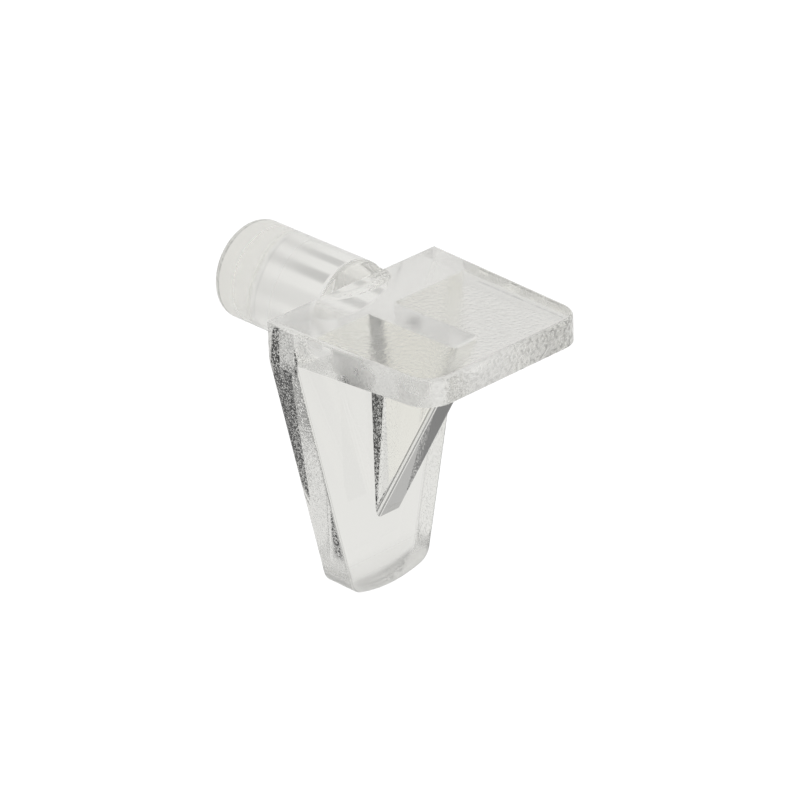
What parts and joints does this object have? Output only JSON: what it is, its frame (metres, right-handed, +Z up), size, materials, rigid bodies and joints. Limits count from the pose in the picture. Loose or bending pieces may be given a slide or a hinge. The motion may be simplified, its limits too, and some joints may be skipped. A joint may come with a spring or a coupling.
{
  "type": "shelf support pin",
  "caption": "Clear moulded shelf support: a round peg for the cabinet side, a flat shelf plate, and a tapered leg braced by a rib.",
  "frame": {"origin": "where the peg's axis meets the wall, which is the plane of the leg's back face", "axes": "+X out of the wall under the shelf, +Z up to the shelf face, and the part is symmetric about Y = 0; the peg runs along -X"},
  "size_m": [0.0174, 0.011, 0.0165],
  "materials": {
    "clear_plastic": "clear, polished on the shelf face, leg front and peg, finely grained on the narrow side faces"
  },
  "bodies": {
    "root": {"shelf_support": "clear_plastic"}
  },
  "joints": []
}
